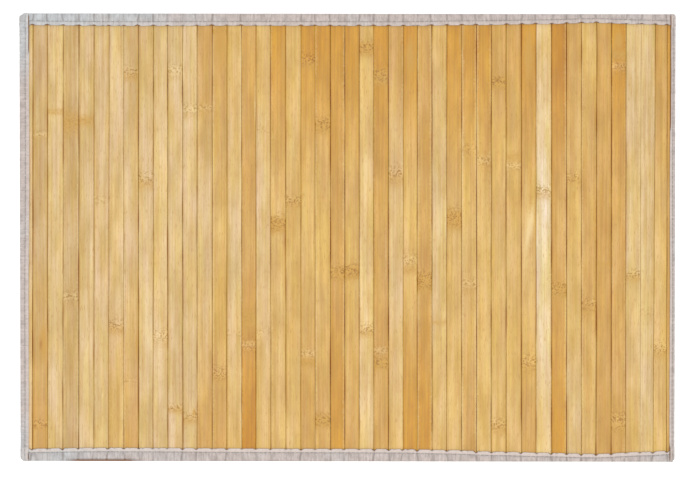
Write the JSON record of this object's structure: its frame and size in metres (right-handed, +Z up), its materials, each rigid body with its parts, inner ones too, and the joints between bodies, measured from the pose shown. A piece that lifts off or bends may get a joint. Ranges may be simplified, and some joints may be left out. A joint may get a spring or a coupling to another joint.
{
  "type": "bamboo mat",
  "caption": "Flat rectangular table mat of bamboo slats laid side by side, its edges bound with narrow grey cloth tape, folded over and sewn.",
  "frame": {"origin": "on the surface that the mat lies on, under the middle of the mat", "axes": "+X across the slats, along the mat's length; +Y along the slats, to the back edge; +Z up, out of the mat's face"},
  "size_m": [0.4404, 0.3008, 0.0059],
  "materials": {
    "bamboo_cream": "satin",
    "bamboo_straw": "satin",
    "bamboo_blush": "satin",
    "bamboo_tan": "satin",
    "bamboo_honey": "satin",
    "bamboo_amber": "satin",
    "binding_cloth": "matte",
    "sewing_thread": "matte"
  },
  "bodies": {
    "root": {"slat_01": "bamboo_straw", "slat_02": "bamboo_amber", "slat_03": "bamboo_straw", "slat_04": "bamboo_tan", "slat_05": "bamboo_straw", "slat_06": "bamboo_blush", "slat_07": "bamboo_straw", "slat_08": "bamboo_blush", "slat_09": "bamboo_tan", "slat_10": "bamboo_straw", "slat_11": "bamboo_tan", "slat_12": "bamboo_blush", "slat_13": "bamboo_tan", "slat_14": "bamboo_straw", "slat_15": "bamboo_straw", "slat_16": "bamboo_honey", "slat_17": "bamboo_straw", "slat_18": "bamboo_straw", "slat_19": "bamboo_straw", "slat_20": "bamboo_honey", "slat_21": "bamboo_honey", "slat_22": "bamboo_tan", "slat_23": "bamboo_honey", "slat_24": "bamboo_cream", "slat_25": "bamboo_honey", "slat_26": "bamboo_straw", "slat_27": "bamboo_honey", "slat_28": "bamboo_tan", "slat_29": "bamboo_blush", "slat_30": "bamboo_straw", "slat_31": "bamboo_honey", "slat_32": "bamboo_honey", "slat_33": "bamboo_tan", "slat_34": "bamboo_straw", "slat_35": "bamboo_honey", "slat_36": "bamboo_cream", "slat_37": "bamboo_amber", "slat_38": "bamboo_tan", "slat_39": "bamboo_straw", "slat_40": "bamboo_tan", "slat_41": "bamboo_tan", "slat_42": "bamboo_cream", "slat_43": "bamboo_straw", "slat_44": "bamboo_straw", "slat_45": "bamboo_honey", "binding_back": "binding_cloth", "binding_front": "binding_cloth", "binding_left": "binding_cloth", "binding_right": "binding_cloth"}
  },
  "joints": []
}
